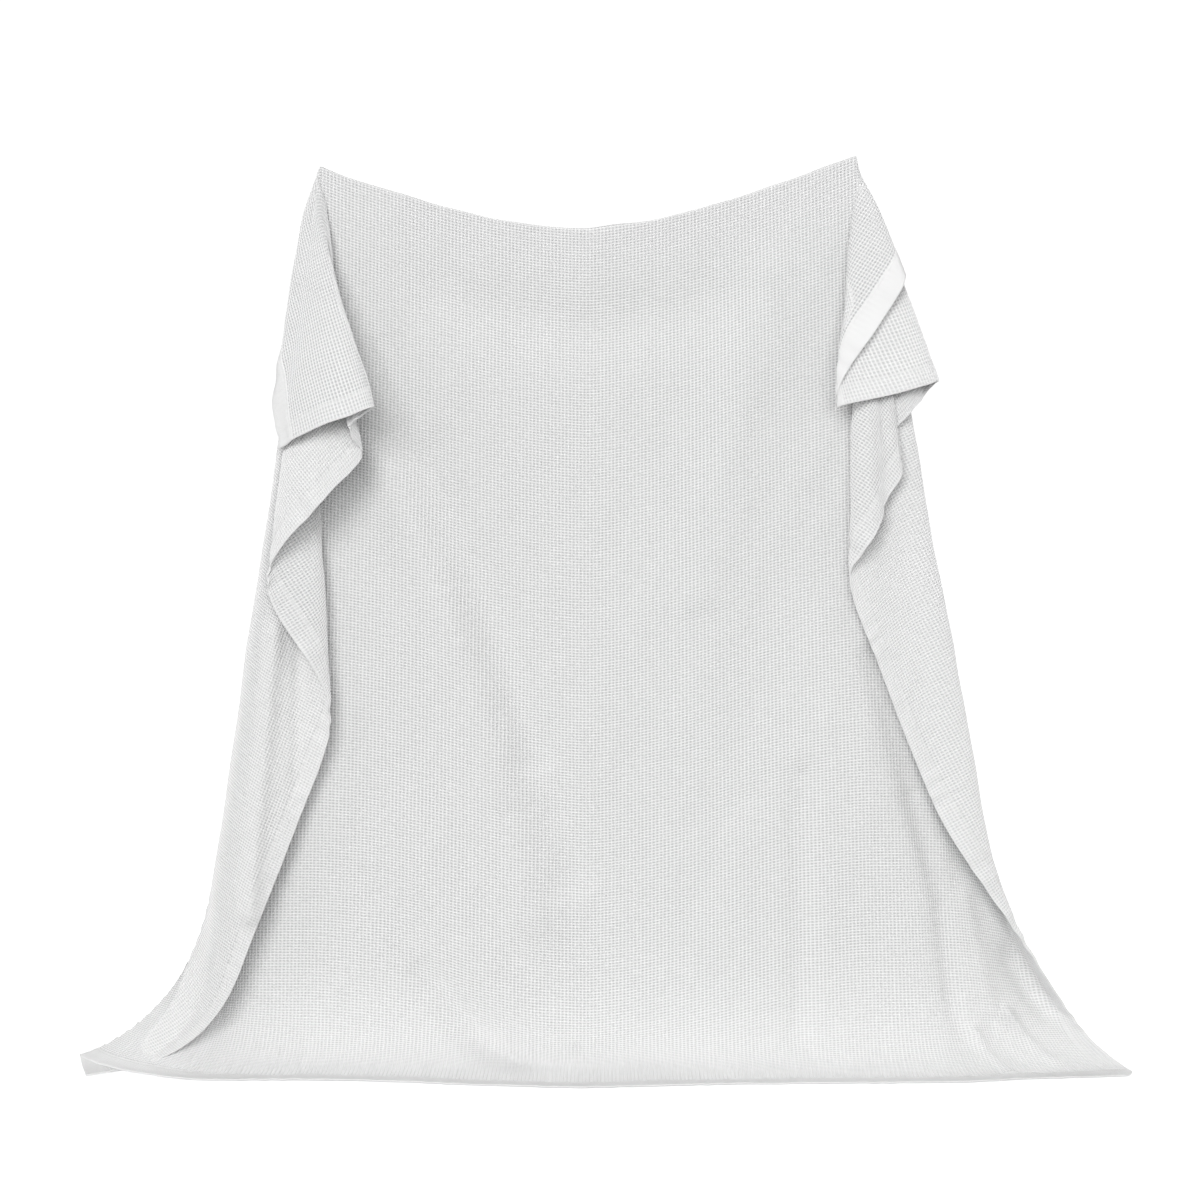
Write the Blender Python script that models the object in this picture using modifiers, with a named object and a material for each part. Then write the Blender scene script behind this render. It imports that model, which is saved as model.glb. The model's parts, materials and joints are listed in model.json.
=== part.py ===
"""Waffle weave cotton blanket, hung over two points by a fold near its top hem.

One square of cloth. The middle hangs between the two points under a sagging top fold, each side
beyond them falls in a cascade of folds toward the front, and the foot runs out over the floor.
Metres, +X right, +Y away from the viewer, +Z up. The origin is the lowest point of the top fold.
"""

from collections import namedtuple
from math import atan2, ceil, degrees, pi

import bmesh
import bpy
import numpy as np

# Driving dimensions.
WIDTH = 2.30  # the cloth, hem to hem
LENGTH = 2.30
THICKNESS = 0.003
BACK_FLAP = 0.235  # cloth that hangs behind the top fold
LEFT_WING = 0.57  # cloth outside each point it hangs from
RIGHT_WING = 0.52
HOLD_SPAN = 1.172  # between the two points
FLOOR = -1.811  # below the lowest point of the top fold
FOLD_RADIUS = 0.008  # of the top fold, to the middle of the cloth
CREASE_RADIUS = 0.016  # of the softest part of each cascade fold
NARROWEST_CREASE = 0.5  # degrees of cloth to each side of a crease's middle
WIDEST_CREASE = 35.0
CREASE_SAMPLES = 9
SHOULDER_LENGTH = 0.06  # how fast a cascade swings out from its hold
STRETCH = 0.035  # of the cloth that hangs from the holds and carries weight
STRETCHED_LENGTH = 1.4
STRETCHED_WIDTH = 0.30
BELLY = 0.03  # of the middle toward the viewer
PANEL_SWEEP = 0.05  # half length of the middle's turn onto the floor
HOLD_SWEEP = 0.10  # the same, below each hold
MIDDLE_DEPTH = 1.5  # degrees that the middle leans toward the viewer
FLARE_START = 1.25  # down a cascade, where it begins to flare
FLARE_LENGTH = 0.85

# The top fold's rise above its lowest point at each hold, and how it curves.
Sag = namedtuple("Sag", "rise power")
LEFT_SAG = Sag(0.136, 1.6)
RIGHT_SAG = Sag(0.162, 1.4)

# Each side of the cloth turns about its hold: 0 is straight down the front, 90 is outward along
# the top fold and 180 is down the back flap. Lean is outward and depth is toward the viewer, in
# degrees from straight down. Shoulder is how far the fold stands out from the hold, in metres.
Fold = namedtuple("Fold", "turn lean depth shoulder")
LEFT_FOLDS = (
    Fold(0, 0.6, 2, 0),
    Fold(6.4, 4.2, 1.2, 0.004),
    Fold(12.8, 8, 2.6, 0.004),
    Fold(15.4, 7.3, 4, 0.004),
    Fold(18.5, 5.6, 4.6, 0.008),
    Fold(24, 0.9, 3.9, 0.022),
    Fold(29.3, -3.5, 4.4, 0.040),
    Fold(39.8, 6.6, 5.8, 0),
    Fold(52, -2, 10, 0),
    Fold(64.4, -9.4, 9.4, 0),
    Fold(69.5, -8.2, 12.2, 0),
    Fold(76, -8, 13, 0.004),
    Fold(83, -12, 14.4, 0.018),
    Fold(90, -17.4, 16.5, 0.033),
    Fold(101, -5, 14.8, 0.020),
    Fold(112.4, 6.2, 7.6, 0.010),
    Fold(118, 7.8, 3.2, 0.034),
    Fold(131, 6, -3, 0.034),
    Fold(150, -4, -5, 0),
    Fold(165, 5, -7, 0),
    Fold(180, 0, -4, 0),
)
RIGHT_FOLDS = (
    Fold(0, 0.6, 3.6, 0),
    Fold(4.2, 2.7, 3.5, 0),
    Fold(8.4, 5.4, 2.9, 0.008),
    Fold(11.5, 7.6, 2.4, 0.016),
    Fold(14.1, 9.4, 1.9, 0.020),
    Fold(17.1, 9.8, 3.6, 0.016),
    Fold(22, 5.9, 4.8, 0.008),
    Fold(28, 2.3, 4.7, 0),
    Fold(35.4, -1.6, 5.3, 0),
    Fold(38, 0.6, 7.5, 0),
    Fold(40.4, 2.6, 7.8, 0),
    Fold(44.5, 4.2, 6.8, 0),
    Fold(49, 7.4, 7.8, 0),
    Fold(58, 6.4, 6, 0),
    Fold(66, 11, 7, 0),
    Fold(78, 16, 4, 0),
    Fold(90, 19.2, 8, 0),
    Fold(114.3, -6.4, 11.5, 0),
    Fold(128, 5.8, 13.2, 0.004),
    Fold(142, 18.6, 14.5, 0.008),
    Fold(150, 20.5, 6.5, 0.004),
    Fold(158, 16.5, -1, 0),
    Fold(168, 8, -5.5, 0),
    Fold(180, 0, -4, 0),
)

# Where the cascade meets the floor: heading is the way it runs, in degrees outward from straight
# toward the viewer, sweep is the half length of its turn, lift stacks it on the cloth below, and
# flare is the lean that it gains on the way down, in degrees.
Foot = namedtuple("Foot", "turn heading sweep lift flare")
LEFT_FEET = (
    Foot(0, 0, HOLD_SWEEP, 0, 0),
    Foot(6.4, 20, 0.20, 0, 0),
    Foot(12.8, 78, 0.345, 0.002, 0),
    Foot(15.4, 65, 0.22, 0.010, 0),
    Foot(17, 65, 0.20, 0.012, 0),
)
RIGHT_FEET = (
    Foot(0, 0, HOLD_SWEEP, 0, 0),
    Foot(8.4, 12, 0.12, 0, 2),
    Foot(14.1, -12, 0.15, 0, 6.3),
    Foot(17.1, 10, 0.15, 0.004, 6.3),
)

# Soft troughs in the middle, from one place to another: across from -1 to 1 between the holds, down
# the front in metres, and how wide and deep they are in metres. A ridge has a negative depth.
Trough = namedtuple("Trough", "across down to_across to_down width depth")
TROUGHS = (
    Trough(-0.90, 0.12, -0.74, 0.62, 0.06, 0.014),
    Trough(-0.74, 0.62, -0.33, 1.02, 0.07, 0.018),
    Trough(-0.33, 1.02, -0.08, 1.40, 0.07, 0.016),
    Trough(-0.58, 1.10, -0.36, 1.50, 0.07, -0.010),
    Trough(-0.86, 1.20, -0.86, 1.75, 0.05, 0.010),
    Trough(-0.63, 1.60, -0.26, 1.85, 0.05, 0.018),
    Trough(-0.52, 1.50, -0.10, 1.80, 0.05, -0.010),
    Trough(0.66, 0.20, 0.42, 0.85, 0.08, -0.012),
    Trough(0.745, 1.40, 0.735, 1.84, 0.035, 0.014),
    Trough(0.86, 1.30, 0.86, 1.80, 0.05, -0.008),
    Trough(0.45, 1.40, 0.50, 1.95, 0.07, -0.010),
)
TROUGH_FADE = 0.2  # below the top fold

# A side of the cloth: +1 to the right, its hold and its tables.
Wing = namedtuple("Wing", "side width hold folds feet")
LEFT = Wing(-1, LEFT_WING, (-HOLD_SPAN / 2, 0, LEFT_SAG.rise), LEFT_FOLDS, LEFT_FEET)
RIGHT = Wing(1, RIGHT_WING, (HOLD_SPAN / 2, 0, RIGHT_SAG.rise), RIGHT_FOLDS, RIGHT_FEET)

# Mesh divisions.
PANEL_COLUMNS = 16
ROWS = 22
ROW_GATHERING = 0.05  # how much closer together rows lie at the fold and the hem
SPOKE_SPACING = 7.0  # degrees at most

FRONT_LENGTH = LENGTH - BACK_FLAP
PANEL_WIDTH = WIDTH - LEFT_WING - RIGHT_WING


def rows_of(folds, column):
    """One column of a table, turned about both its ends so that creases stay centred there."""
    values = np.array([getattr(fold, column) for fold in folds], float)
    turns = np.array([fold.turn for fold in folds], float)
    before, after = 2 * values[0] - values[:0:-1], 2 * values[-1] - values[-2::-1]
    early, late = 2 * turns[0] - turns[:0:-1], 2 * turns[-1] - turns[-2::-1]
    return np.concatenate([early, turns, late]), np.concatenate([before, values, after])


def curve_through(turn, turns, values):
    """A smooth curve through a table's rows that never swings past them."""
    steps = np.diff(turns)
    rates = np.diff(values) / steps
    before, after = rates[:-1], rates[1:]
    onward = before * after > 0
    slopes = np.zeros_like(values)
    slopes[1:-1][onward] = 2 * before[onward] * after[onward] / (before + after)[onward]
    row = np.clip(np.searchsorted(turns, turn) - 1, 0, len(turns) - 2)
    share = (turn - turns[row]) / steps[row]
    rise = values[row + 1] - values[row]
    early, late = slopes[row] * steps[row], slopes[row + 1] * steps[row]
    return values[row] + share * (
        early + share * (3 * rise - 2 * early - late + share * (early + late - 2 * rise))
    )


def softened(folds, column, turn, reach):
    """A table's value at each turn, rounded over the width of a crease at that reach."""
    turns, values = rows_of(folds, column)
    width = np.degrees(CREASE_RADIUS / np.maximum(reach, 0.001))
    width = np.clip(width, NARROWEST_CREASE, WIDEST_CREASE)
    steps = np.linspace(-1, 1, CREASE_SAMPLES)
    return sum(curve_through(turn + step * width, turns, values) for step in steps) / len(steps)


def stretched(length, share):
    """Length along a column that carries weight."""
    return length + STRETCH * share * np.minimum(length, STRETCHED_LENGTH)


def rolled(length):
    """How far cloth stands out from the top fold and drops below it, and what hangs straight."""
    turn = np.minimum(length / FOLD_RADIUS, pi / 2)
    out, drop = FOLD_RADIUS * np.sin(turn), FOLD_RADIUS * (1 - np.cos(turn))
    return out, drop, np.maximum(length - FOLD_RADIUS * pi / 2, 0)


def landed(start, way, reach, heading, sweep, lift):
    """Points along straight ways that turn softly onto the floor and run on along headings."""
    height = start[..., 2] - FLOOR - THICKNESS / 2 - lift
    past = reach + height / way[..., 2]
    turned = np.where(past > sweep, past, np.maximum(past + sweep, 0) ** 2 / (4 * sweep))
    run = np.stack([np.sin(heading), -np.cos(heading), 0 * heading], -1)
    return start + way * (reach - turned)[..., None] + run * turned[..., None]


def wing_point(wing, turn, reach):
    """A point of a wing, by its turn about the hold in degrees and its distance in the cloth."""
    side = wing.side
    turns = [foot.turn for foot in wing.feet]
    gained = np.clip((reach - FLARE_START) / FLARE_LENGTH, 0, 1) ** 3
    flare = np.interp(turn, turns, [foot.flare for foot in wing.feet]) * gained
    lean = np.radians(softened(wing.folds, "lean", turn, reach) + flare)
    depth = np.radians(softened(wing.folds, "depth", turn, reach))
    shoulder = softened(wing.folds, "shoulder", turn, reach)
    shoulder = shoulder * (1 - np.exp(-reach / SHOULDER_LENGTH))
    out, drop, straight = rolled(stretched(reach, 1))
    way = np.stack([side * np.tan(lean), -np.tan(depth), -np.ones_like(lean)], -1)
    way = way / np.linalg.norm(way, axis=-1, keepdims=True)
    start = np.array(wing.hold) + np.stack(
        [side * shoulder, -out * np.cos(np.radians(turn)), -drop], -1
    )
    heading = side * np.radians(np.interp(turn, turns, [foot.heading for foot in wing.feet]))
    sweep = np.interp(turn, turns, [foot.sweep for foot in wing.feet])
    lift = np.interp(turn, turns, [foot.lift for foot in wing.feet])
    return landed(start, way, straight, heading, sweep, lift)


def fold_height(across):
    """Height of the top fold, by the place across the middle from -1 to 1."""
    left = LEFT_SAG.rise * np.abs(across) ** LEFT_SAG.power
    right = RIGHT_SAG.rise * np.abs(across) ** RIGHT_SAG.power
    return np.where(across < 0, left, right)


def fold_at_hold(across, column, down):
    """A wing's value at its hold column, fading out or in toward the middle of the cloth."""
    front = [getattr(wing.folds[0], column) for wing in (LEFT, RIGHT)]
    back = [getattr(wing.folds[-1], column) for wing in (LEFT, RIGHT)]
    middle = MIDDLE_DEPTH if column == "depth" else 0
    front = middle + (np.where(across < 0, front[0], front[1]) - middle) * across**2 * (2 - across**2)
    return np.where(down < 0, back[0], front)


def trough_depth(across, down):
    """How far the soft troughs set the middle back, fading out at its edges and its fold. Where two
    of them meet, the deeper one counts."""
    deepest = highest = 0 * across
    for trough in TROUGHS:
        start = np.array([trough.across * PANEL_WIDTH / 2, trough.down])
        way = np.array([trough.to_across * PANEL_WIDTH / 2, trough.to_down]) - start
        x, y = across * PANEL_WIDTH / 2 - start[0], down - start[1]
        along = np.clip((x * way[0] + y * way[1]) / (way @ way), 0, 1)
        distance = np.hypot(x - along * way[0], y - along * way[1])
        set_back = trough.depth * np.exp(-((distance / trough.width) ** 2))
        deepest, highest = np.maximum(deepest, set_back), np.minimum(highest, set_back)
    belly = BELLY * np.sin(np.clip(down / FRONT_LENGTH, 0, 1) * pi) * (1 - across**2)
    fade = (1 - across**2) * np.clip(down / TROUGH_FADE, 0, 1)
    return (deepest + highest - belly) * fade


def panel_point(across, down):
    """A point of the middle: across from -1 to 1, and down the front from the top fold."""
    inward = (1 - np.abs(across)) * PANEL_WIDTH / 2
    share = np.maximum(1 - inward / STRETCHED_WIDTH, 0) ** 2
    out, drop, straight = rolled(stretched(np.abs(down), share))
    side = np.sign(down)
    folds = [fold_at_hold(across, column, down) for column in ("lean", "depth")]
    lean, depth = np.radians(folds[0]) * np.sign(across), np.radians(folds[1])
    way = np.stack([np.tan(lean), -np.tan(depth), -np.ones_like(lean)], -1)
    way = way / np.linalg.norm(way, axis=-1, keepdims=True)
    out = trough_depth(across, down) - out * side
    start = np.stack([across * HOLD_SPAN / 2, out, fold_height(across) - drop], -1)
    sweep = PANEL_SWEEP + (HOLD_SWEEP - PANEL_SWEEP) * share
    return landed(start, way, straight, 0 * across, sweep, 0)


def wing_end(wing, turn):
    """How far the cloth reaches from the hold to its hem, at each turn in degrees."""
    angle = np.radians(turn)
    to_side = wing.width / np.maximum(np.sin(angle), 1e-6)
    along = np.where(turn < 90, FRONT_LENGTH, BACK_FLAP)
    return np.minimum(to_side, along / np.maximum(np.abs(np.cos(angle)), 1e-6))


def row_stations():
    """Shares of the way from the fold to the hem, closer together near both."""
    even = np.linspace(0, 1, ROWS + 1)
    return even - ROW_GATHERING * np.sin(2 * pi * even)


def wing_turns(wing):
    """Spokes of a wing's mesh: on every fold, on both corners and evenly between them."""
    corners = [degrees(atan2(wing.width, FRONT_LENGTH)), 180 - degrees(atan2(wing.width, BACK_FLAP))]
    main = sorted({fold.turn for fold in wing.folds} | {round(corner, 1) for corner in corners})
    turns = []
    for early, late in zip(main, main[1:]):
        parts = ceil((late - early) / SPOKE_SPACING)
        turns += [early + (late - early) * part / parts for part in range(parts)]
    return turns + [main[-1]]


def grid(mesh, columns, place):
    """Adds a grid to the mesh, each corner put where place says from its column and row."""
    made = bmesh.ops.create_grid(mesh, x_segments=columns, y_segments=ROWS, size=0.5)
    corners = made["verts"]
    flat = np.array([corner.co for corner in corners]) + 0.5
    for corner, point in zip(corners, place(flat[:, 0], flat[:, 1])):
        corner.co = point


def add_wing(mesh, wing):
    turns, stations = wing_turns(wing), row_stations()

    def place(across, down):
        turn = np.interp(across, np.linspace(0, 1, len(turns)), turns)
        share = np.interp(down, np.linspace(0, 1, ROWS + 1), stations)
        return wing_point(wing, turn, share * wing_end(wing, turn))

    grid(mesh, len(turns) - 1, place)


def add_panel(mesh, length):
    stations = row_stations()

    def place(across, down):
        share = np.interp(down, np.linspace(0, 1, ROWS + 1), stations)
        return panel_point(2 * across - 1, length * share)

    grid(mesh, PANEL_COLUMNS, place)


def build_blanket(collection):
    mesh = bmesh.new()
    add_wing(mesh, LEFT)
    add_wing(mesh, RIGHT)
    add_panel(mesh, FRONT_LENGTH)
    add_panel(mesh, -BACK_FLAP)
    bmesh.ops.remove_doubles(mesh, verts=mesh.verts, dist=0.0001)
    bmesh.ops.recalc_face_normals(mesh, faces=mesh.faces)
    data = bpy.data.meshes.new("blanket")
    mesh.to_mesh(data)
    mesh.free()
    blanket = bpy.data.objects.new("blanket", data)
    collection.objects.link(blanket)
    solidify = blanket.modifiers.new("Cloth thickness", "SOLIDIFY")
    solidify.thickness = THICKNESS
    solidify.offset = 0
    return blanket


def cotton():
    material = bpy.data.materials.new("white cotton waffle weave")
    material.use_nodes = True
    shader = material.node_tree.nodes["Principled BSDF"]
    shader.inputs["Base Color"].default_value = (0.86, 0.86, 0.85, 1)
    shader.inputs["Roughness"].default_value = 0.92
    shader.inputs["Metallic"].default_value = 0
    return material


def main():
    for item in list(bpy.data.objects):
        bpy.data.objects.remove(item)
    collection = bpy.data.collections.new("Waffle weave blanket")
    bpy.context.scene.collection.children.link(collection)
    blanket = build_blanket(collection)
    blanket.data.materials.append(cotton())


main()
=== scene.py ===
"""Looks of a white waffle weave cotton blanket, hung over two points by a fold near its top hem.

The cloth is worked out flat first: across runs from its left hem to its right hem and down runs from its
top hem to its bottom hem, in metres. cloth says where each place of it hangs, and every piece is
cut from that one cloth: the waffle field, the plain end hems, the turned side hems and their stitches.
"""

import json
from collections import namedtuple
from math import pi, radians

import bmesh
import bpy
import numpy as np
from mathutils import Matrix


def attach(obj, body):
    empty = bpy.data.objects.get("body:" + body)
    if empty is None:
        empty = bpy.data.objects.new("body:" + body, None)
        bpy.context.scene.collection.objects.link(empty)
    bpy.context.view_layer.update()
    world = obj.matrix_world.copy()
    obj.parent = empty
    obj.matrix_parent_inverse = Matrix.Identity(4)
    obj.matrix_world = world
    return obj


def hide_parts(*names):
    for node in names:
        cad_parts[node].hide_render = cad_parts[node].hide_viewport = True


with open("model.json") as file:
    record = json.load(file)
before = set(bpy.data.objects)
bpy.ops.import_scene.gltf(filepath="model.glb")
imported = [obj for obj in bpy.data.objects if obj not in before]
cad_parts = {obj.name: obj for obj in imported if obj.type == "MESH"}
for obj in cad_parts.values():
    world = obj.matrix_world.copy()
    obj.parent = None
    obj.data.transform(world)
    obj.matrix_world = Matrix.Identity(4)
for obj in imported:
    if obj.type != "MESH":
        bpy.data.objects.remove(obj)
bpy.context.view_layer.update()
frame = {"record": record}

# The cloth.
WIDTH = 2.30
LENGTH = 2.30
THICKNESS = 0.003  # over the ridges of both sides
BACK_FLAP = 0.235  # cloth that hangs behind the top fold
LEFT_WING = 0.57  # cloth outside each point it hangs from
RIGHT_WING = 0.52
FRONT_LENGTH = LENGTH - BACK_FLAP
PANEL_WIDTH = WIDTH - LEFT_WING - RIGHT_WING

# How it hangs.
FOLD_RADIUS = 0.008  # of the top fold, to the middle of the cloth
CREASE_RADIUS = 0.016  # of the softest part of each cascade fold
NARROWEST_CREASE = 0.5  # degrees of cloth to each side of a crease's middle
WIDEST_CREASE = 35.0
NEAREST_REACH = 0.001  # to a hold, for the width of a crease
CREASE_SAMPLES = 9
SHOULDER_LENGTH = 0.06  # how fast a cascade swings out from its hold
STRETCH = 0.035  # of the cloth that hangs from the holds and carries weight
STRETCHED_LENGTH = 1.4
STRETCHED_WIDTH = 0.30
BELLY = 0.02  # of the middle toward the viewer
PANEL_SWEEP = 0.11  # half length of the middle's turn onto the floor
HOLD_SWEEP = 0.10  # the same, below each hold
MIDDLE_DEPTH = 1.5  # degrees that the middle leans toward the viewer
FLARE_START = 1.25  # down a cascade, where it begins to flare
FLARE_LENGTH = 0.85
TROUGH_FADE = 0.2  # below the top fold

# The weave and its hems.
END_HEM = 0.050  # the plain bands at the top and the bottom
SIDE_HEM = 0.045  # the turned cloth at each side
CELL_COLUMNS = 275  # between the side hems, about 8 mm apart
CELL_ROWS = 355  # between the end hems, about 6.2 mm apart
FIELD_PIECES = 5
PIT_DEPTH = 0.0024
PRESSED_FROM = 0.40  # from the bottom hem's edge up, where the waffle begins to be pressed flatter
PRESSED_TO = 0.22
PRESSED_SHARE = 0.75  # of its depth that is left there
STITCH_LINE = 0.0445  # from an end hem's edge to its stitches
SIDE_STITCH_LINE = 0.0410
STITCH_PITCH = 0.0042
STITCH_LENGTH = 0.0034
STITCH_SEAT = 0.0012  # from the middle of the cloth to the thread
STITCH_MARGIN = 0.004  # from a side's edge to the first stitch across it
THREAD_RADIUS = 0.00032
BAND_STEP = 0.0032  # along an end hem
NORMAL_STEP = 0.004  # to each side of a place, for the slope of the cloth there

Sag = namedtuple("Sag", "rise power")
Wing = namedtuple("Wing", "side width hold folds feet")

# Each side of the cloth turns about its hold: 0 is straight down the front, 90 is outward along
# the top fold and 180 is down the back flap. Lean is outward and depth is toward the viewer, in
# degrees from straight down. Shoulder is how far the fold stands out from the hold, in metres.
Fold = namedtuple("Fold", "turn lean depth shoulder")
LEFT_FOLDS = (
    Fold(0, 0.6, 2, 0),
    Fold(6.4, 6.0, 2.0, 0.004),
    Fold(12.8, 8, 2.6, 0.004),
    Fold(15.4, 7.3, 3.6, 0.004),
    Fold(18.5, 5.6, 3.8, 0.008),
    Fold(24, 0.9, 3.4, 0.022),
    Fold(29.3, -3.5, 4.0, 0.040),
    Fold(39.8, 6.6, 5.8, 0),
    Fold(52, -2, 10, 0),
    Fold(64.4, -9.4, 9.4, 0),
    Fold(69.5, -8.2, 12.2, 0),
    Fold(76, -8, 13, 0.004),
    Fold(83, -12, 14.4, 0.018),
    Fold(90, -17.4, 16.5, 0.033),
    Fold(101, -5, 14.8, 0.020),
    Fold(112.4, 6.2, 7.6, 0.010),
    Fold(118, 7.8, 3.2, 0.034),
    Fold(131, 6, -3, 0.034),
    Fold(150, -4, -5, 0),
    Fold(165, 5, -7, 0),
    Fold(180, 0, -4, 0),
)
RIGHT_FOLDS = (
    Fold(0, 0.6, 3.6, 0),
    Fold(4.2, 4.4, 3.4, 0),
    Fold(8.4, 7.2, 2.5, 0.008),
    Fold(11.5, 8.5, 2.2, 0.016),
    Fold(14.1, 9.4, 1.9, 0.020),
    Fold(17.1, 9.8, 3.6, 0.016),
    Fold(22, 5.9, 4.8, 0.008),
    Fold(28, 2.3, 4.7, 0),
    Fold(35.4, -1.6, 5.3, 0),
    Fold(38, 0.6, 7.5, 0),
    Fold(40.4, 2.6, 7.8, 0),
    Fold(44.5, 4.2, 6.8, 0),
    Fold(49, 7.4, 7.8, 0),
    Fold(58, 6.4, 6, 0),
    Fold(66, 11, 7, 0),
    Fold(78, 16, 4, 0),
    Fold(90, 19.2, 8, 0),
    Fold(114.3, -6.4, 11.5, 0),
    Fold(128, 5.8, 13.2, 0.004),
    Fold(142, 18.6, 14.5, 0.008),
    Fold(150, 20.5, 6.5, 0.004),
    Fold(158, 16.5, -1, 0),
    Fold(168, 8, -5.5, 0),
    Fold(180, 0, -4, 0),
)

# Where the cascade meets the floor: heading is the way it runs, in degrees outward from straight
# toward the viewer, sweep is the half length of its turn, lift stacks it on the cloth below, and
# flare is the lean that it gains on the way down, in degrees.
Foot = namedtuple("Foot", "turn heading sweep lift flare")
LEFT_FEET = (
    Foot(0, 0, HOLD_SWEEP, 0, 0),
    Foot(6.4, 20, 0.20, 0, 0),
    Foot(12.8, 78, 0.42, 0.002, 0),
    Foot(15.4, 65, 0.22, 0.010, 0),
    Foot(17, 65, 0.20, 0.012, 0),
)
RIGHT_FEET = (
    Foot(0, 0, HOLD_SWEEP, 0, 0),
    Foot(8.4, 12, 0.12, 0, 2),
    Foot(14.1, -12, 0.15, 0, 6.3),
    Foot(17.1, 10, 0.15, 0.004, 9.3),
)

# Soft troughs in the middle, from one place to another: across from -1 to 1 between the holds, down
# the front in metres, and how wide and deep they are in metres. A ridge has a negative depth.
Trough = namedtuple("Trough", "across down to_across to_down width depth")
TROUGHS = (
    Trough(-0.92, 0.06, -0.80, 0.36, 0.05, 0.022),
    Trough(-0.80, 0.36, -0.64, 0.56, 0.055, 0.030),
    Trough(-0.64, 0.56, -0.38, 0.86, 0.06, 0.034),
    Trough(-0.38, 0.86, -0.20, 1.18, 0.06, 0.034),
    Trough(-0.20, 1.18, -0.08, 1.42, 0.07, 0.026),
    Trough(-0.08, 1.42, 0.02, 1.62, 0.08, 0.014),
    Trough(-0.90, 0.42, -0.54, 0.86, 0.06, -0.024),
    Trough(-0.54, 0.86, -0.30, 1.26, 0.06, -0.026),
    Trough(-0.30, 1.26, -0.20, 1.50, 0.07, -0.018),
    Trough(-0.84, 1.20, -0.80, 1.50, 0.045, 0.018),
    Trough(-0.80, 1.50, -0.60, 1.68, 0.05, 0.026),
    Trough(-0.60, 1.68, -0.26, 1.88, 0.045, 0.036),
    Trough(-0.66, 1.36, -0.44, 1.60, 0.06, -0.014),
    Trough(-0.44, 1.60, -0.10, 1.80, 0.05, -0.018),
    Trough(-0.55, 0.20, 0.55, 0.22, 0.09, 0.016),
    Trough(0.66, 0.20, 0.42, 0.85, 0.08, -0.022),
    Trough(0.42, 0.85, 0.40, 1.40, 0.09, -0.014),
    Trough(0.765, 1.30, 0.745, 1.86, 0.030, 0.032),
    Trough(0.86, 1.20, 0.86, 1.80, 0.05, -0.018),
    Trough(0.52, 1.40, 0.54, 1.95, 0.07, -0.018),
)

# Unevenness of the whole cloth: waves across and down it in metres, their height and where they start.
Wave = namedtuple("Wave", "across down height start")
RUMPLES = (
    Wave(0.61, 1.10, 0.0018, 0.4),
    Wave(0.37, -0.83, 0.0014, 1.9),
    Wave(0.23, 0.52, 0.0009, 3.1),
    Wave(0.171, -0.31, 0.0007, 5.2),
    Wave(0.117, 0.19, 0.0004, 2.6),
)
RUMPLE_FADE = 0.15  # height above the floor where rumples begin to flatten
FLOOR_RUMPLE = 0.25  # the share of them that is left on the floor

# Creases of the sides, from one place of the cloth to another: how wide they are and how far they set
# the cloth back, in metres. A ridge has a negative depth.
Crease = namedtuple("Crease", "across down to_across to_down width depth")
CREASES = (
    Crease(1.80, 1.30, 1.885, 1.59, 0.030, 0.012),
    Crease(1.885, 1.59, 1.953, 1.82, 0.030, 0.016),
    Crease(1.953, 1.82, 1.975, 2.13, 0.028, 0.018),
    Crease(2.03, 1.80, 2.08, 2.12, 0.030, -0.010),
    Crease(2.01, 2.10, 2.05, 2.24, 0.016, -0.030),
    Crease(2.06, 2.08, 2.12, 2.24, 0.018, 0.014),
    Crease(2.11, 2.05, 2.17, 2.20, 0.018, -0.034),
    Crease(2.18, 1.93, 2.23, 2.03, 0.045, 0.026),
    Crease(0.23, 1.17, 0.03, 1.72, 0.026, 0.020),
    Crease(0.21, 1.05, 0.04, 1.43, 0.018, -0.008),
    Crease(0.45, 1.30, 0.35, 1.85, 0.030, 0.006),
)

# Hems are drawn up a little by their stitches, and their edges wave.
PUCKER_PITCH = 0.0115
PUCKER_HEIGHT = 0.0005
PUCKER_WIDTH = 0.016  # to each side of the stitches
EDGE_WAVE = 0.083
EDGE_WAVE_HEIGHT = 0.0020
EDGE_WAVE_WIDTH = 0.05
Drift = namedtuple("Drift", "pitch share")
DRIFTS = (Drift(0.31, 0.4), Drift(0.31 / 1.7, 0.3))  # over which the pitch of both comes and goes
RIGHT_HEM_START = 0.7  # so that opposite hems don't wave alike
BOTTOM_HEM_START = 0.4
EDGE_LIFT = 0.0022  # of the bottom hem's edge off the floor
EDGE_LIFT_WIDTH = 0.012

# An end hem's section from its edge inward: distance and half its thickness, in metres.
Section = namedtuple("Section", "distance half")
BAND_SECTIONS = (
    Section(0, 0.0002),
    Section(0.0005, 0.0012),
    Section(0.0018, 0.0019),
    Section(0.0055, 0.0021),
    Section(0.014, 0.0020),
    Section(0.024, 0.0020),
    Section(0.033, 0.0020),
    Section(0.0395, 0.0020),
    Section(0.0428, 0.0017),
    Section(STITCH_LINE, 0.0011),
    Section(0.0462, 0.0016),
    Section(0.0492, 0.0016),
    Section(0.0512, 0.0009),
)

# How an end hem thins out at its two ends: distance from the end and the share of its thickness.
Thinning = namedtuple("Thinning", "distance share")
BAND_ENDS = (Thinning(0, 0.15), Thinning(0.0008, 0.7), Thinning(0.0030, 1))

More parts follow.
